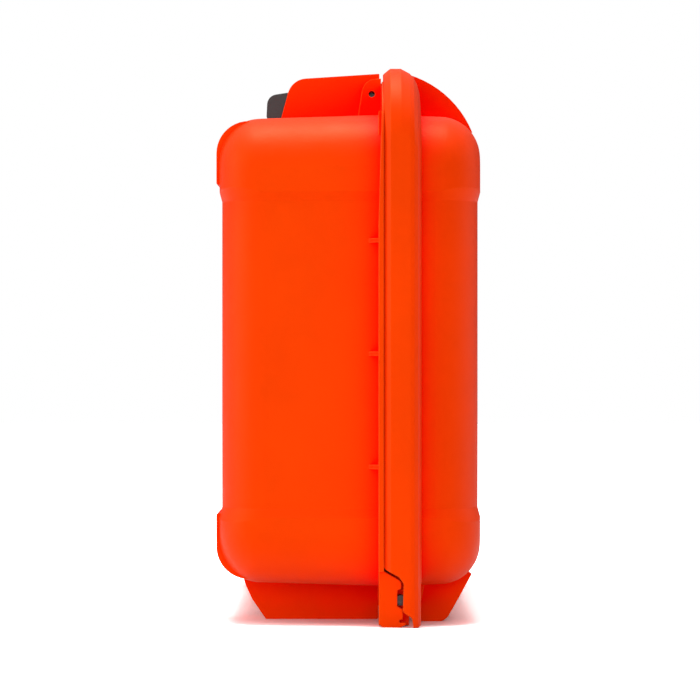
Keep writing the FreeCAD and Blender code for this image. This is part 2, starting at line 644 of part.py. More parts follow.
def saline_pod(x, y):
    """A single-use plastic ampoule: a round body, a narrow neck and a flat tab to twist off."""
    low, high = POD_SPAN
    body = softened(rod("z", (x, y), POD_R, low, high), 3.0, lambda b: b.ZMax - b.ZMin < 0.01)
    neck = rod("z", (x, y), 2.6, high - 1.0, high + 4.0)
    tab = box(x - 1.0, x + 1.0, y - 6.0, y + 6.0, high + 3.5, high + POD_TAB)
    return fused(body, neck, tab)


def soft_pack(x_span, z_span):
    pack = box(*x_span, *PACK_Y, *z_span)
    return pack.makeFillet(5.0, pack.Edges)


def make_supplies():
    save("bandage_rolls", *[rod("z", ROLL_AT, ROLL_R, *span) for span in ROLL_SPANS])
    save("saline_pods", *[saline_pod(x, y) for x in POD_X for y in POD_Y])
    tape = rod("x", TAPE_AT, TAPE_R, *TAPE_X).cut(rod("x", TAPE_AT, TAPE_CORE_R, *TAPE_X))
    core = rod("x", TAPE_AT, TAPE_CORE_R, TAPE_X[0] - 0.8, TAPE_X[1] + 0.8)
    core = core.cut(rod("x", TAPE_AT, TAPE_CORE_R - 1.6, -60.0, 0.0))
    save("tape_roll", tape)
    save("tape_core", core)
    lows = [GAUZE_LOW + i * GAUZE_PITCH for i in range(GAUZE_COUNT)]
    save("gauze_packs", *[soft_pack(GAUZE_X, (low, low + GAUZE_THICK)) for low in lows])
    save("triangular_bandage_pack", soft_pack(PACK_X, TRIANGULAR_SPAN))
    save("foil_blanket_pack", soft_pack(PACK_X, FOIL_SPAN))
    make_tweezers()
    make_scissors()


def pocket(y_span, z_span, floor, radius=5.0, room=POCKET_GAP):
    """An open pocket round an item that spans y_span by z_span and lies no deeper than floor."""
    sides = rectangle(y_span[0] - room, y_span[1] + room, z_span[0] - room, z_span[1] + room, radius)
    return face_plate(sides, floor - room, 0.0)


def scissors_pocket():
    """Wide enough for the moving blade to swing through twice the tilt."""
    y, z = SCISSORS_PIVOT
    return pocket((y - 33.6, y + 33.6), (z - 59.6, z + 60.6), SCISSORS_X[0][0] - 1.0, 8.0)


def make_tray():
    """Foam tray that fills the base, with an open pocket for each item and a notch for the valve."""
    inset = WALL + TRAY_GAP
    tray = block(-1, BASE_DEPTH - inset, inset, HINGE_WALL + TRAY_GAP, CORNER_R - WALL, EDGE_R - WALL,
                 start=-TRAY_TOP)
    roll_x, roll_y = ROLL_AT
    gauze_high = GAUZE_LOW + (GAUZE_COUNT - 1) * GAUZE_PITCH + GAUZE_THICK
    holes = [pocket((roll_y - ROLL_R, roll_y + ROLL_R), span, roll_x - ROLL_R, 3.0) for span in ROLL_SPANS]
    holes += [
        pocket((POD_Y[0] - POD_R, POD_Y[1] + POD_R), (POD_SPAN[0], POD_SPAN[1] + POD_TAB), POD_X[0] - POD_R),
        rod("x", TAPE_AT, TAPE_R + POCKET_GAP, TAPE_X[0] - 0.8 - POCKET_GAP, 0.0),
        pocket(PACK_Y, (GAUZE_LOW, gauze_high), GAUZE_X[0]),
        pocket(PACK_Y, TRIANGULAR_SPAN, PACK_X[0]),
        pocket(PACK_Y, FOIL_SPAN, PACK_X[0]),
        pocket(TWEEZERS_Y, (TWEEZERS_Z[0], TWEEZERS_Z[1] + 3.0), TWEEZERS_X[0], 4.0),
        scissors_pocket(),
        box(VALVE_AT[0] - 11.0, 0.0, -11.0, 11.0, 196.5, 215.0),
    ]
    save("foam_tray", tray.cut(holes).removeSplitter())


def make_pins():
    save("hinge_pins", *both_ends(rod("y", (PIN_X, PIN_Z), PIN_R, PIN_FROM, PIN_TO)))
    latch_pin = rod("y", LATCH_PIN, LATCH_PIN_R, LATCH_Y - GUARD_OUT + 0.4, LATCH_Y + GUARD_OUT + 0.5)
    save("latch_pivot_pins", *both_ends(latch_pin))


def main():
    os.makedirs("parts", exist_ok=True)
    save("base_shell", make_base())
    save("lid_shell", make_lid())
    save("lid_seal", seal_ring(1.1, BASE_RIM_X + 0.05, LID_RIM_X + 2.4))
    make_pins()
    make_latch(-1, "left")
    make_latch(1, "right")
    make_handle()
    make_valve()
    make_emblem()
    make_lining()
    make_supplies()
    make_tray()


main()
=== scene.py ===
import json
import math

import bmesh
import bpy
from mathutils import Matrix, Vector, noise

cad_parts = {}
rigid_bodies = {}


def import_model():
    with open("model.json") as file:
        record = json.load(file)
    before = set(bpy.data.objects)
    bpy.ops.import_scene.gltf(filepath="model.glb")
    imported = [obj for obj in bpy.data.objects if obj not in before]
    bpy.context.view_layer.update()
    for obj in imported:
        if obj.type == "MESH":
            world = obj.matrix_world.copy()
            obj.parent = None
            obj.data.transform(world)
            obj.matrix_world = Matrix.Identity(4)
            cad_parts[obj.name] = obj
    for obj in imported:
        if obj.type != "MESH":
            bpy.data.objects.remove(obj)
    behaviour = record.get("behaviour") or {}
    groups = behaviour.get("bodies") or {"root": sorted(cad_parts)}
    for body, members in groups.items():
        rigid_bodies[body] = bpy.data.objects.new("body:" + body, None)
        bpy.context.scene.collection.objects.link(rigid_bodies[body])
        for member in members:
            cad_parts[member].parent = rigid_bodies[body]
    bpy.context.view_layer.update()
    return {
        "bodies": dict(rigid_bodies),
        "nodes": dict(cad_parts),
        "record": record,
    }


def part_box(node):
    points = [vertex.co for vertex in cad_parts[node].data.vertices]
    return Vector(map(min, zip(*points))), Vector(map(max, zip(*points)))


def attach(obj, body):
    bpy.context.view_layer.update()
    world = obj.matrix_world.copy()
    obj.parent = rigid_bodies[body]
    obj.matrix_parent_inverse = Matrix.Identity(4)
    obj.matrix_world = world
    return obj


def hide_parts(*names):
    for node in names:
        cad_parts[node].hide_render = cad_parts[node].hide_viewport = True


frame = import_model()
nodes = frame["nodes"]
MM = 0.001

# ---- Camera, light and floor ------------------------------------------------------------------------
CAMERA_AT = Vector((0.7, -1660.0, 113.9)) * MM
FOCAL_MM, SENSOR_MM = 188.6, 36.0
SKY_HORIZON, SKY_TOP = 0.06, 0.75           # brightness of the studio's walls and ceiling
SKY_LEFT = 0.08                             # how much brighter its left side is
LIGHTS_AIM = Vector((0.0, 0.0, 110.0)) * MM
FLOOR_HALF = 4.0
FLOOR_SEEN, FLOOR_LIT = 2.3, 0.82           # the paper floor is overexposed to the camera alone
PAINTED_SHADOW_REACH, PAINTED_SHADOW_LEVEL = 32.0 * MM, 1.0    # close under the case the floor is painted darker: a painted contact shadow
PAINTED_SHADOW_RANGE = (0.35, 0.75)                # openness of the floor where the painted shadow is full, and where it ends

# ---- The lid about its hinge pins: the floor drops out of its way ------------------------------------
HINGE_HEIGHT = 10.8 * MM
LID_REACH = 33.5 * MM                       # from the pins out to the lid's face
LID_NEAR, LID_FAR = 12.0 * MM, 205.0 * MM   # where that face starts and ends above the pins

# ---- Soft goods -------------------------------------------------------------------------------------
WELD = 0.001 * MM              # corners nearer than this are one corner
SACHET_CELL = 3.2 * MM         # grid of a sachet's two sheets
SACHET_FEWEST_CELLS = 6
SACHET_START = 0.16            # how far apart the sheets start, as a share of the full thickness
SACHET_FRAMES = 20
SACHET_PRESSURE = 5.0
SACHET_MIDDLE_Y = 90.0 * MM
SACHET_FLAT_HALF = 45.0 * MM   # the film is crimped further than this from its middle
FOAM_VOXEL = 2.4 * MM
CONVOLUTE_PITCH = 24.0 * MM    # spacing of the lid foam's bumps
CONVOLUTE_DEPTH = 9.0 * MM
CONVOLUTE_FADE = 2.2           # how fast the bumps fade towards the foam's back

# ---- Shading ----------------------------------------------------------------------------------------
NOISE_RANGE = (0.3, 0.7)                # nearly all of a noise texture's values lie between these
EDGE_RANGE = (0.98, 0.75)               # cosine between true and rounded normal: no edge, full edge
WAVE_RADIANS = 20.0                     # what a wave texture of scale 1 turns through in a metre
RAY_SAMPLES = 6

# ---- Moulded plastic --------------------------------------------------------------------------------
MOULD_EDGE = 0.6 * MM                   # radius that every moulded edge is shaded with
PAINTED_SHADE_REACH = 40.0 * MM                # surfaces of the same piece nearer than this deepen its colour as painted shade
PAINTED_SHADE_RANGE = (0.5, 0.92)              # openness where the painted shade is full, and where it ends
SPECULAR_TINT = (1.0, 0.3, 0.02)
# reflection level on open surfaces, and the lower level painted into recesses as painted shade
SPECULAR_LEVEL, SPECULAR_IN_PAINTED_SHADE = 0.45, 0.1


# ---- Node helpers -----------------------------------------------------------------------------------
def scaled(colour, factor):
    return [part * factor for part in colour]


class Shader:
    """A material under construction; each method adds a node and returns the socket to connect on."""

    def __init__(self, name):
        self.material = bpy.data.materials.new(name)
        self.material.use_nodes = True
        self.tree = self.material.node_tree
        self.surface = self.tree.nodes["Principled BSDF"]
        self.place = self.add("ShaderNodeTexCoord").outputs["Object"]

    def add(self, kind, **settings):
        node = self.tree.nodes.new(kind)
        for key, value in settings.items():
            setattr(node, key, value)
        return node

    def put(self, socket, value):
        if isinstance(value, bpy.types.NodeSocket):
            self.tree.links.new(value, socket)
        else:
            socket.default_value = value

    def set(self, **inputs):
        for key, value in inputs.items():
            self.put(self.surface.inputs[key.replace("_", " ")], value)

    def stretched(self, x, y, z):
        node = self.add("ShaderNodeMapping")
        self.put(node.inputs["Vector"], self.place)
        self.put(node.inputs["Scale"], (x, y, z))
        return node.outputs["Vector"]

    def noise(self, scale, detail=2.0, roughness=0.5, place=None):
        node = self.add("ShaderNodeTexNoise")
        self.put(node.inputs["Vector"], place or self.place)
        self.put(node.inputs["Scale"], scale)
        self.put(node.inputs["Detail"], detail)
        self.put(node.inputs["Roughness"], roughness)
        return node.outputs["Fac"]

    def cells(self, scale):
        node = self.add("ShaderNodeTexVoronoi")
        self.put(node.inputs["Vector"], self.place)
        self.put(node.inputs["Scale"], scale)
        return node.outputs["Distance"]

    def wave(self, pitch, direction, distortion=0.0):
        """Soft bands, one every pitch."""
        node = self.add("ShaderNodeTexWave", wave_type="BANDS", bands_direction=direction)
        self.put(node.inputs["Vector"], self.place)
        self.put(node.inputs["Scale"], 2 * math.pi / pitch / WAVE_RADIANS)
        self.put(node.inputs["Distortion"], distortion)
        self.put(node.inputs["Detail"], 1.0)
        return node.outputs["Fac"]

    def math(self, operation, a, b=0.0):
        node = self.add("ShaderNodeMath", operation=operation)
        self.put(node.inputs[0], a)
        self.put(node.inputs[1], b)
        return node.outputs[0]

    def spread(self, value, low, high, to_low, to_high):
        node = self.add("ShaderNodeMapRange")
        for i, part in enumerate((value, low, high, to_low, to_high)):
            self.put(node.inputs[i], part)
        return node.outputs[0]

    def vary(self, noise_value, to_low, to_high):
        """Spreads the range that a noise mostly keeps to over new limits."""
        return self.spread(noise_value, *NOISE_RANGE, to_low, to_high)

    def mix(self, share, a, b):
        node = self.add("ShaderNodeMix", data_type="RGBA")
        self.put(node.inputs[0], share)
        self.put(node.inputs[6], a if isinstance(a, bpy.types.NodeSocket) else (*a, 1.0))
        self.put(node.inputs[7], b if isinstance(b, bpy.types.NodeSocket) else (*b, 1.0))
        return node.outputs[2]

    def rounded(self, radius):
        """The normal as it would be if every edge had this radius."""
        node = self.add("ShaderNodeBevel", samples=RAY_SAMPLES)
        self.put(node.inputs["Radius"], radius)
        return node.outputs["Normal"]

    def edges(self, radius):
        """Near 1 on edges that stick out or in, 0 on open surfaces."""
        facing = self.add("ShaderNodeVectorMath", operation="DOT_PRODUCT")
        self.put(facing.inputs[0], self.rounded(radius))
        self.put(facing.inputs[1], self.add("ShaderNodeNewGeometry").outputs["Normal"])
        return self.spread(facing.outputs["Value"], *EDGE_RANGE, 0.0, 1.0)

    def openness(self, distance, only_local=False):
        """Near 1 where a surface sees its surroundings, near 0 deep in a recess."""
        node = self.add("ShaderNodeAmbientOcclusion", samples=RAY_SAMPLES, only_local=only_local)
        self.put(node.inputs["Distance"], distance)
        return node.outputs["AO"]

    def bump(self, height, distance, normal=None):
        node = self.add("ShaderNodeBump")
        self.put(node.inputs["Height"], height)
        self.put(node.inputs["Distance"], distance)
        if normal is not None:
            self.put(node.inputs["Normal"], normal)
        return node.outputs["Normal"]


# ---- Materials --------------------------------------------------------------------------------------
def moulded_plastic(name, colour, edge_wear_and_highlight_colour, grain, roughness, painted_shade_colour=None):
    """Textured injection-moulded plastic: fine spark grain, faint flow marks, rounded edges painted
    lighter, partly painted highlight and partly wear.

    In recesses the colour turns to a deeper red and the reflection weakens: painted shade, standing for
    light that reaches there by way of the plastic itself.
    """
    s = Shader(name)
    tone = s.vary(s.noise(22.0, 3.0, 0.55), 0.94, 1.04)
    shade = s.add("ShaderNodeVectorMath", operation="SCALE")
    colour_with_any_painted_shade = colour
    if painted_shade_colour is not None:
        # painted shade: recesses of the piece are mixed towards the deeper colour
        openness = s.spread(s.openness(PAINTED_SHADE_REACH, only_local=True), *PAINTED_SHADE_RANGE, 0.0, 1.0)
        colour_with_any_painted_shade = s.mix(openness, painted_shade_colour, colour)
        s.set(
            Specular_Tint=(*SPECULAR_TINT, 1.0),
            Specular_IOR_Level=s.spread(openness, 0.0, 1.0, SPECULAR_IN_PAINTED_SHADE, SPECULAR_LEVEL),
        )
    s.put(shade.inputs[0], colour_with_any_painted_shade)
    s.put(shade.inputs["Scale"], tone)
    # edges are mixed towards the lighter colour: a painted edge highlight, with wear that the scuffs vary
    edge = s.edges(MOULD_EDGE)
    scuffs = s.spread(s.noise(180.0, 4.0, 0.7), 0.45, 0.75, 0.0, 1.0)
    edge_wear_and_highlight = s.math("MULTIPLY", edge, s.spread(scuffs, 0.0, 1.0, 0.5, 0.9))
    grain_height = s.math("ADD", s.noise(1900.0, 2.0, 0.6), s.math("MULTIPLY", s.noise(700.0, 1.0), 0.5))
    s.set(
        Base_Color=s.mix(edge_wear_and_highlight, shade.outputs["Vector"], edge_wear_and_highlight_colour),
        Roughness=s.vary(s.noise(60.0, 3.0), roughness - 0.04, roughness + 0.05),
        Normal=s.bump(grain_height, grain, s.rounded(MOULD_EDGE)),
    )
    return s.material


def steel(name, colour, roughness, direction):
    """Brushed along one axis: the brushing is stretched noise in roughness and height."""
    s = Shader(name)
    stretch = [1600.0, 1600.0, 1600.0]
    stretch["XYZ".index(direction)] = 30.0
    lines = s.noise(1.0, 3.0, 0.6, s.stretched(*stretch))
    stain = s.noise(45.0, 3.0)
    s.set(
        Base_Color=s.mix(s.spread(stain, 0.35, 0.75, 0.0, 0.7), colour, scaled(colour, 0.72)),
        Metallic=1.0,
        Roughness=s.vary(lines, roughness - 0.08, roughness + 0.12),
        Normal=s.bump(lines, 0.02 * MM, s.rounded(0.25 * MM)),
    )
    return s.material


def rubber(name, colour, rib_pitch=None):
    """Dull rubber with a little dust on it, ribbed where a pitch is given."""
    s = Shader(name)
    dust = s.spread(s.noise(90.0, 4.0, 0.65), 0.5, 0.8, 0.0, 0.35)
    dusty = [c + 0.05 for c in colour]
    height = s.noise(1300.0, 2.0)
    if rib_pitch:
        height = s.math("ADD", s.math("MULTIPLY", s.wave(rib_pitch, "Y"), 6.0), height)
    s.set(
        Base_Color=s.mix(dust, colour, dusty),
        Roughness=s.vary(s.noise(200.0), 0.62, 0.8),
        Normal=s.bump(height, 0.06 * MM, s.rounded(0.4 * MM)),
    )
    return s.material


def foam(name, colour):
    """Open-cell foam: two sizes of pores, painted darker inside them as painted shade."""
    s = Shader(name)
    pores = s.spread(s.cells(1100.0), 0.0, 0.6, 1.0, 0.0)
    large = s.spread(s.cells(380.0), 0.05, 0.35, 1.0, 0.0)
    hollow = s.math("MAXIMUM", s.math("MULTIPLY", pores, 0.6), large)
    lighter = [c * 2.1 + 0.01 for c in colour]
    cloud = s.noise(30.0, 3.0)
    # the pores are darker: painted shade
    s.set(
        Base_Color=s.mix(hollow, s.mix(cloud, colour, lighter), scaled(colour, 0.35)),
        Roughness=s.vary(cloud, 0.88, 0.98),
        Specular_IOR_Level=0.25,
        Sheen_Weight=0.25,
        Normal=s.bump(hollow, -0.35 * MM),
    )
    return s.material


def gauze(name, colour, pitch):
    """Open plain weave: threads along two directions and loose fibres, with painted shade in the gaps."""
    s = Shader(name)
    threads = s.math("MAXIMUM", s.wave(pitch, "Z", 0.6), s.wave(pitch, "DIAGONAL", 0.6))
    fibre = s.noise(2600.0, 3.0, 0.7)
    # the gaps between the threads are darker: painted shade
    gap = s.spread(threads, 0.25, 0.7, 1.0, 0.0)
    s.set(
        Base_Color=s.mix(gap, s.mix(fibre, colour, scaled(colour, 0.9)), scaled(colour, 0.62)),
        Roughness=s.vary(fibre, 0.86, 0.97),
        Sheen_Weight=0.35,
        Normal=s.bump(s.math("ADD", threads, s.math("MULTIPLY", fibre, 0.4)), 0.22 * MM),
    )
    return s.material


def sachet_film(name, colour, band, band_at, smoothest, roughest, crease_depth, metallic=0.0):
    """Printed wrapping film: a plain coloured band, small creases and crimped ends."""
    s = Shader(name)
    split = s.add("ShaderNodeSeparateXYZ")
    s.put(split.inputs[0], s.place)
    low, high = band_at
    along = split.outputs["Y"]
    in_band = s.math("MULTIPLY", s.math("GREATER_THAN", along, low), s.math("LESS_THAN", along, high))
    crease = s.noise(75.0, 5.0, 0.62)
    crimp = s.wave(1.6 * MM, "Y")
    from_middle = s.math("ABSOLUTE", s.math("SUBTRACT", along, SACHET_MIDDLE_Y))
    ends = s.math("GREATER_THAN", from_middle, SACHET_FLAT_HALF)
    height = s.math("ADD", crease, s.math("MULTIPLY", s.math("MULTIPLY", crimp, ends), 0.4))
    s.set(
        Base_Color=s.mix(in_band, s.mix(s.noise(14.0), colour, scaled(colour, 0.93)), band),
        Metallic=metallic,
        Roughness=s.vary(crease, smoothest, roughest),
        Normal=s.bump(height, crease_depth),
    )
    return s.material


def tape_cloth(name, colour):
    """The side of a wound tape: fine rings round its core, painted darker in their grooves as painted
    shade.
    """
    s = Shader(name)
    low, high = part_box("tape_roll")
    middle = (low + high) / 2
    shifted = s.add("ShaderNodeVectorMath", operation="SUBTRACT")
    s.put(shifted.inputs[0], s.place)
    s.put(shifted.inputs[1], middle)
    flat = s.add("ShaderNodeVectorMath", operation="MULTIPLY")
    s.put(flat.inputs[0], shifted.outputs["Vector"])
    s.put(flat.inputs[1], (0.0, 1.0, 1.0))
    length = s.add("ShaderNodeVectorMath", operation="LENGTH")
    s.put(length.inputs[0], flat.outputs["Vector"])
    turn_thickness = 0.7 * MM
    rings = s.math("SINE", s.math("MULTIPLY", length.outputs["Value"], 2 * math.pi / turn_thickness))
    uneven = s.math("MULTIPLY", rings, s.noise(260.0, 3.0))
    # the rings are darker in their grooves: painted shade
    s.set(
        Base_Color=s.mix(s.spread(uneven, -0.5, 0.5, 0.0, 1.0), scaled(colour, 0.8), colour),
        Roughness=s.spread(uneven, -0.5, 0.5, 0.9, 0.75),
        Normal=s.bump(uneven, 0.12 * MM, s.rounded(0.5 * MM)),
    )
    return s.material


def card(name, colour):
    """Grey board with visible fibre."""
    s = Shader(name)
    fibre = s.noise(420.0, 5.0, 0.7)
    s.set(
        Base_Color=s.mix(fibre, colour, scaled(colour, 0.7)),
        Roughness=s.vary(fibre, 0.8, 0.95),
        Normal=s.bump(fibre, 0.1 * MM, s.rounded(0.3 * MM)),
    )
    return s.material


def pod_plastic(name, colour):
    """Soft translucent plastic."""
    s = Shader(name)
    cloud = s.noise(70.0, 3.0)
    s.set(
        Base_Color=s.mix(cloud, colour, scaled(colour, 0.9)),
        Roughness=s.vary(cloud, 0.16, 0.28),
        Transmission_Weight=0.55,
        IOR=1.4,
        Normal=s.bump(s.noise(240.0), 0.04 * MM, s.rounded(0.4 * MM)),
    )
    return s.material


def make_materials():
    # the second orange is the red painted into recesses as shade
    orange, painted_shade_orange, orange_wear_and_highlight = (0.93, 0.042, 0.0), (1.0, 0.0, 0.0), (1.0, 0.18, 0.02)
    # the lighter colours go on edges as painted highlight and wear
    black, black_wear_and_highlight = (0.022, 0.018, 0.018), (0.07, 0.07, 0.07)
    green, green_wear_and_highlight = (0.0, 0.21, 0.09), (0.1, 0.35, 0.2)
    white, white_wear_and_highlight = (0.82, 0.82, 0.8), (0.9, 0.9, 0.9)
    paper, paper_band, paper_band_at = (0.85, 0.86, 0.85), (0.02, 0.28, 0.36), (55 * MM, 72 * MM)
    silver, gold, gold_band_at = (0.8, 0.8, 0.82), (0.75, 0.42, 0.08), (118 * MM, 128 * MM)
    spark_grain, label_grain = 0.05 * MM, 0.01 * MM
    looks = {
        "orange_plastic": (moulded_plastic, orange, orange_wear_and_highlight, spark_grain, 0.46, painted_shade_orange),
        "black_plastic": (moulded_plastic, black, black_wear_and_highlight, spark_grain, 0.44),
        "grip_rubber": (rubber, (0.022, 0.022, 0.023), 4.0 * MM),
        "seal_rubber": (rubber, (0.03, 0.03, 0.03)),
        # darkened steel: its near-black partly stands for the shade deep in the pin holes, a painted
        # shade
        "pin_steel": (steel, (0.07, 0.06, 0.06), 0.34, "Y"),
        "blade_steel": (steel, (0.72, 0.72, 0.75), 0.26, "Z"),
        "valve_membrane_cloth": (gauze, (0.8, 0.8, 0.8), 0.5 * MM),
        "green_label": (moulded_plastic, green, green_wear_and_highlight, label_grain, 0.36),
        "white_label": (moulded_plastic, white, white_wear_and_highlight, label_grain, 0.36),
        "tray_foam": (foam, (0.028, 0.028, 0.031)),
        "lid_foam": (foam, (0.04, 0.04, 0.044)),
        "bandage_cloth": (gauze, (0.83, 0.79, 0.7), 1.1 * MM),
        "pack_paper": (sachet_film, paper, paper_band, paper_band_at, 0.38, 0.55, 0.5 * MM),
        "foil": (sachet_film, silver, gold, gold_band_at, 0.24, 0.38, 1.1 * MM, 1.0),
        "tape_cloth": (tape_cloth, (0.86, 0.8, 0.7)),
        "tape_core_card": (card, (0.42, 0.28, 0.15)),
        "pod_plastic": (pod_plastic, (0.78, 0.88, 0.93)),
    }
    return {name: make(name, *details) for name, (make, *details) in looks.items()}


materials = make_materials()


def dress(obj, slot):
    obj.data.materials.clear()
    obj.data.materials.append(materials[slot])


# ---- Mesh helpers -----------------------------------------------------------------------------------
def new_object(name, mesh):
    obj = bpy.data.objects.new(name, mesh)
    bpy.context.scene.collection.objects.link(obj)
    return obj


def baked(obj):
    """Turns the object's modifiers into mesh."""
    bpy.context.view_layer.update()
    depsgraph = bpy.context.evaluated_depsgraph_get()
    mesh = bpy.data.meshes.new_from_object(obj.evaluated_get(depsgraph))
    obj.modifiers.clear()
    obj.data = mesh
    return obj


def mesh_from(bm, name):
    bmesh.ops.recalc_face_normals(bm, faces=bm.faces)
    mesh = bpy.data.meshes.new(name)
    bm.to_mesh(mesh)
    bm.free()
    return mesh


def smooth(obj):
    for polygon in obj.data.polygons:
        polygon.use_smooth = True


def finish_piece(obj, body, node_slot, *stands_for):
    """Gives a new piece its material and body, and hides the nodes that it stands for."""
    dress(obj, node_slot)
    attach(obj, body)
    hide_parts(*stands_for)


# ---- Sachets, inflated by simulation ----------------------------------------------------------------
def sachet_mesh(name, low, high, thin):
    """Two sheets sealed round their rim, nearly flat; thin is the axis across the sheets."""
    across = [a for a in range(3) if a != thin]
    size = [high[a] - low[a] for a in across]
    counts = [max(SACHET_FEWEST_CELLS, round(length / SACHET_CELL)) for length in size]
    middle = (low[thin] + high[thin]) / 2
    start = (high[thin] - low[thin]) * SACHET_START
    bm = bmesh.new()
    sheets = []
    for side in (-1, 1):
        rows = []
        for i in range(counts[0] + 1):
            row = []
            for j in range(counts[1] + 1):
                on_rim = i in (0, counts[0]) or j in (0, counts[1])
                if side > 0 and on_rim:
                    row.append(sheets[0][i][j])
                    continue
                point = [0.0, 0.0, 0.0]
                point[across[0]] = low[across[0]] + size[0] * i / counts[0]
                point[across[1]] = low[across[1]] + size[1] * j / counts[1]
                point[thin] = middle + (0.0 if on_rim else side * start)
                row.append(bm.verts.new(point))
            rows.append(row)
        sheets.append(rows)
    for rows in sheets:
        for i in range(counts[0]):
            for j in range(counts[1]):
                bm.faces.new((rows[i][j], rows[i + 1][j], rows[i + 1][j + 1], rows[i][j + 1]))
    return mesh_from(bm, name)


def fit_to(obj, low, high):
    """Scales the mesh so that it fills the space from low to high."""
    points = [v.co.copy() for v in obj.data.vertices]
    for axis in range(3):
        least = min(p[axis] for p in points)
        most = max(p[axis] for p in points)
        scale = (high[axis] - low[axis]) / (most - least)
        for vertex, p in zip(obj.data.vertices, points):
            vertex.co[axis] = low[axis] + (p[axis] - least) * scale


def inflate(sachets):
    """Runs one cloth simulation over all sachets, then fills each one's space with its result."""
    for obj, _, _ in sachets:
        cloth = obj.modifiers.new("cloth", "CLOTH")
        cloth.settings.quality = 6
        cloth.settings.use_pressure = True
        cloth.settings.uniform_pressure_force = SACHET_PRESSURE
        cloth.settings.tension_stiffness = 12.0
        cloth.settings.compression_stiffness = 12.0
        cloth.settings.bending_stiffness = 0.3
        cloth.settings.effector_weights.gravity = 0.0
        cloth.point_cache.frame_start = 1
        cloth.point_cache.frame_end = SACHET_FRAMES
    for number in range(1, SACHET_FRAMES + 1):
        bpy.context.scene.frame_set(number)
    for obj, _, _ in sachets:
        baked(obj)
    bpy.context.scene.frame_set(1)
    for obj, low, high in sachets:
        fit_to(obj, low, high)
        obj.modifiers.new("subdivision", "SUBSURF").levels = 1
        baked(obj)
        smooth(obj)


def make_sachets():
    x_axis, z_axis = 0, 2       # the thin direction of each kind
    kinds = (
        ("gauze_packs", z_axis, "pack_paper"),
        ("triangular_bandage_pack", x_axis, "pack_paper"),
        ("foil_blanket_pack", x_axis, "foil"),
    )
    sachets, jobs = [], []
    for node, thin, slot in kinds:
        for i, (low, high) in enumerate(loose_parts(node)):
            obj = new_object(f"{node}_soft_{i + 1}", sachet_mesh(node, low, high, thin))
            sachets.append((obj, low, high))
            jobs.append((obj, slot, node))
    inflate(sachets)
    for obj, slot, node in jobs:
        finish_piece(obj, "base", slot, node)


def loose_parts(node):
    """The lowest and highest corners of each separate solid in a node, from low to high z."""
    bm = bmesh.new()
    bm.from_mesh(nodes[node].data)
    bmesh.ops.remove_doubles(bm, verts=bm.verts, dist=WELD)
    unseen, found = set(bm.verts), []
    while unseen:
        stack = [unseen.pop()]
        island = []
        while stack:
            vertex = stack.pop()
            island.append(vertex.co.copy())
            for edge in vertex.link_edges:
                other = edge.other_vert(vertex)
                if other in unseen:
                    unseen.remove(other)
                    stack.append(other)
        low = Vector([min(p[a] for p in island) for a in range(3)])
        high = Vector([max(p[a] for p in island) for a in range(3)])
        found.append((low, high))
    bm.free()
    return sorted(found, key=lambda box: (round(box[0].z, 4), round(box[0].x, 4)))


# ---- Bandage rolls ----------------------------------------------------------------------------------
def roll_mesh(low, high):
    """A wound bandage: a spiral step in its ends, a crowned side and a loose outer edge."""
    around, rings, rows = 96, 22, 14
    wrap, wrap_step = 1.5 * MM, 0.9 * MM
    flap_height, wobble_height = 0.5 * MM, 0.35 * MM
    wobble_turns, wobble_rate = 3, 60
    end_gap, end_rounding, end_sharpness = 0.4 * MM, 1.2 * MM, 12
    crown_height = 0.018
    spare = 0.6 * MM            # keeps the loose edge and the wobble inside the roll's space
    centre = (low + high) / 2
    radius = (high.x - low.x) / 2 - spare

    def point(turn, share, z):
        angle = 2 * math.pi * turn / around
        flap = flap_height * turn / around
        turned = Vector((math.cos(angle) * wobble_turns, math.sin(angle) * wobble_turns, z * wobble_rate))
        wobble = noise.noise(turned) * wobble_height
        r = (radius + flap + wobble) * share
        return Vector((centre.x + r * math.cos(angle), centre.y + r * math.sin(angle), z))

    bm = bmesh.new()
    columns = []
    for turn in range(around):
        column = []
        for end in (-1, 1):
            ring = []
            for k in range(1, rings + 1):
                share = k / rings
                phase = (share * radius / wrap + turn / around) % 1.0
                step = wrap_step * abs(phase - 0.5)
                inset = end_gap + step + end_rounding * share ** end_sharpness
                z = (high.z if end > 0 else low.z) - end * inset
                ring.append(bm.verts.new(point(turn, share, z)))
            column.append(ring)
        side = []
        for k in range(1, rows):
            t = k / rows
            z = low.z + (high.z - low.z) * t
            crown = 1.0 - crown_height * (2 * t - 1) ** 4
            side.append(bm.verts.new(point(turn, crown, z)))
        columns.append(column[0] + side + column[1][::-1])
    tips = [bm.verts.new((centre.x, centre.y, z)) for z in (low.z + spare, high.z - spare)]
    for turn in range(around):
        here, there = columns[turn], columns[(turn + 1) % around]
        bm.faces.new((tips[0], here[0], there[0]))
        bm.faces.new((tips[1], here[-1], there[-1]))
        for a in range(len(here) - 1):
            bm.faces.new((here[a], here[a + 1], there[a + 1], there[a]))
    return mesh_from(bm, "bandage_roll")


def make_rolls():
    for i, (low, high) in enumerate(loose_parts("bandage_rolls")):
        obj = new_object(f"bandage_roll_soft_{i + 1}", roll_mesh(low, high))
        smooth(obj)
        finish_piece(obj, "base", "bandage_cloth", "bandage_rolls")


# ---- Foam -------------------------------------------------------------------------------------------
def remeshed_copy(node, name, voxel):
    """A copy of a node with an even mesh and slightly softened edges."""
    obj = new_object(name, nodes[node].data.copy())
    remesh = obj.modifiers.new("remesh", "REMESH")
    remesh.mode = "VOXEL"
    remesh.voxel_size = voxel
    relax = obj.modifiers.new("relax", "SMOOTH")
    relax.factor = 0.5
    relax.iterations = 2
    return baked(obj)


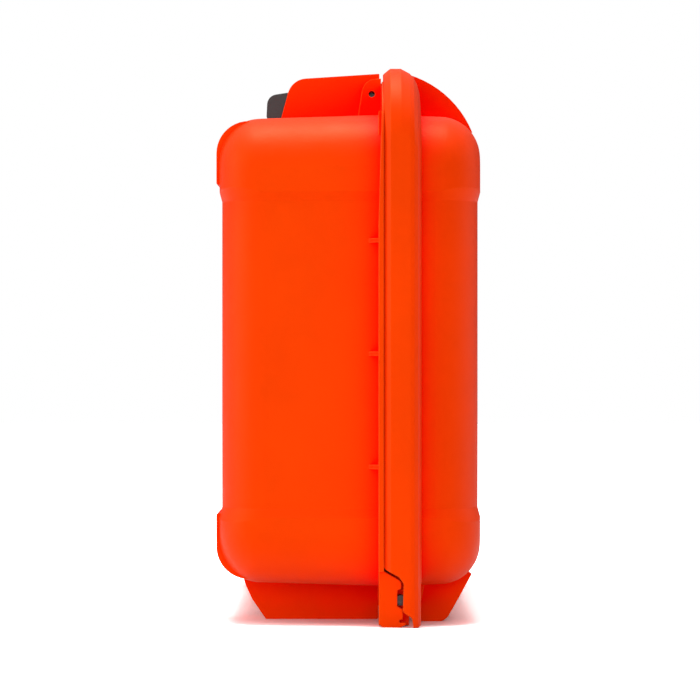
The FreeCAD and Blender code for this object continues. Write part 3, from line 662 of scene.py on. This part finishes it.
def make_lid_foam():
    """Convoluted foam: rows of rounded bumps on the face that presses on the supplies."""
    obj = remeshed_copy("lid_foam", "lid_foam_convoluted", FOAM_VOXEL)
    low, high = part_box("lid_foam")
    rate = 2 * math.pi / CONVOLUTE_PITCH
    for vertex in obj.data.vertices:
        depth = (vertex.co.x - low.x) / (high.x - low.x)
        reach = max(0.0, 1.0 - depth * CONVOLUTE_FADE)
        bumps = 0.5 + 0.25 * (math.cos(rate * vertex.co.y) + math.cos(rate * (vertex.co.z - low.z)))
        vertex.co.x += CONVOLUTE_DEPTH * (1.0 - bumps) * reach
    smooth(obj)
    finish_piece(obj, "lid", "lid_foam", "lid_foam")


def make_tray_foam():
    obj = remeshed_copy("foam_tray", "foam_tray_soft", FOAM_VOXEL)
    smooth(obj)
    finish_piece(obj, "base", "tray_foam", "foam_tray")


# ---- CAD nodes that keep their shape ----------------------------------------------------------------
def dress_cad_nodes():
    """Gives each node that no new piece stands for the material of its slot."""
    slots = {s["node"]: s["material_slot"] for s in frame["record"]["subparts"]}
    for name, obj in nodes.items():
        if obj.hide_render:
            continue
        dress(obj, slots[name])


# ---- Stage ------------------------------------------------------------------------------------------
def softbox(name, at, size, power):
    data = bpy.data.lights.new(name, "AREA")
    data.shape = "RECTANGLE"
    data.size, data.size_y = size
    data.energy = power
    obj = bpy.data.objects.new(name, data)
    obj.location = at
    obj.rotation_mode = "QUATERNION"
    obj.rotation_quaternion = (LIGHTS_AIM - Vector(at)).to_track_quat("-Z", "Y")
    bpy.context.scene.collection.objects.link(obj)


def make_floor():
    mesh = bpy.data.meshes.new("floor")
    h = FLOOR_HALF
    mesh.from_pydata([(-h, -h, 0), (h, -h, 0), (h, h, 0), (-h, h, 0)], [], [(0, 1, 2, 3)])
    floor = new_object("floor", mesh)
    s = Shader("floor_paper")
    seen = s.add("ShaderNodeLightPath").outputs["Is Camera Ray"]
    fibre = s.vary(s.noise(3.0), 0.98, 1.0)
    # painted contact shadow: the floor that the camera sees darkens where the case is near
    painted_contact_shadow = s.spread(s.openness(PAINTED_SHADOW_REACH), *PAINTED_SHADOW_RANGE, PAINTED_SHADOW_LEVEL, FLOOR_SEEN)
    level = s.math("MULTIPLY", s.spread(seen, 0.0, 1.0, FLOOR_LIT, painted_contact_shadow), fibre)
    paper = s.add("ShaderNodeBsdfDiffuse")
    s.put(paper.inputs["Color"], level)
    s.put(s.tree.nodes["Material Output"].inputs["Surface"], paper.outputs["BSDF"])
    mesh.materials.append(s.material)
    return floor


def lower_floor_with_lid(floor):
    """An open lid reaches below the face that the case stands on, so the floor drops out of its way."""
    driver = floor.driver_add("location", 2).driver
    driver.type = "SCRIPTED"
    variable = driver.variables.new()
    variable.name = "a"
    variable.type = "TRANSFORMS"
    variable.targets[0].id = frame["bodies"]["lid"]
    variable.targets[0].transform_type = "ROT_Y"
    lowest_end = f"min({LID_NEAR:.4f} * cos(a), {LID_FAR:.4f} * cos(a))"
    driver.expression = f"min(0, {HINGE_HEIGHT:.4f} - {LID_REACH:.4f} * sin(a) + {lowest_end})"


def make_sky():
    """A white studio: even white to the camera, and brighter above and to the left as a light."""
    world = bpy.data.worlds.new("studio")
    world.use_nodes = True
    tree = world.node_tree

    def node(kind, **settings):
        made = tree.nodes.new(kind)
        for key, value in settings.items():
            setattr(made, key, value)
        return made

    direction = node("ShaderNodeSeparateXYZ")
    tree.links.new(node("ShaderNodeTexCoord").outputs["Generated"], direction.inputs[0])
    height = node("ShaderNodeMapRange")
    for i, value in enumerate((0.0, 1.0, SKY_HORIZON, SKY_TOP)):
        height.inputs[i + 1].default_value = value
    tree.links.new(direction.outputs["Z"], height.inputs[0])
    sideways = node("ShaderNodeMath", operation="MULTIPLY")
    sideways.inputs[1].default_value = -SKY_LEFT
    tree.links.new(direction.outputs["X"], sideways.inputs[0])
    level = node("ShaderNodeMath", operation="ADD")
    tree.links.new(height.outputs[0], level.inputs[0])
    tree.links.new(sideways.outputs[0], level.inputs[1])
    seen = node("ShaderNodeMix", data_type="FLOAT")
    tree.links.new(node("ShaderNodeLightPath").outputs["Is Camera Ray"], seen.inputs[0])
    tree.links.new(level.outputs[0], seen.inputs[2])
    seen.inputs[3].default_value = 1.0
    background = tree.nodes["Background"]
    background.inputs["Color"].default_value = (1.0, 1.0, 1.0, 1.0)
    tree.links.new(seen.outputs[0], background.inputs["Strength"])
    bpy.context.scene.world = world


def make_stage():
    lower_floor_with_lid(make_floor())
    make_sky()
    softbox("top_softbox", at=(-0.1, -0.15, 1.4), size=(0.8, 0.5), power=14.0)
    softbox("front_softbox", at=(-0.2, -2.2, 0.22), size=(1.1, 0.9), power=12.0)
    softbox("left_softbox", at=(-1.3, -0.6, 0.45), size=(1.2, 0.9), power=8.0)
    softbox("right_softbox", at=(1.4, 0.0, 0.45), size=(1.2, 0.9), power=3.0)


def make_camera():
    data = bpy.data.cameras.new("camera")
    data.lens = FOCAL_MM
    data.sensor_width = SENSOR_MM
    data.clip_start, data.clip_end = 0.05, 50.0
    camera = bpy.data.objects.new("camera", data)
    camera.location = CAMERA_AT
    camera.rotation_euler = (math.radians(90.0), 0.0, 0.0)
    bpy.context.scene.collection.objects.link(camera)
    bpy.context.scene.camera = camera


def main():
    make_sachets()
    make_rolls()
    make_lid_foam()
    make_tray_foam()
    dress_cad_nodes()
    make_stage()
    make_camera()
    bpy.context.scene.view_settings.view_transform = "Standard"


main()
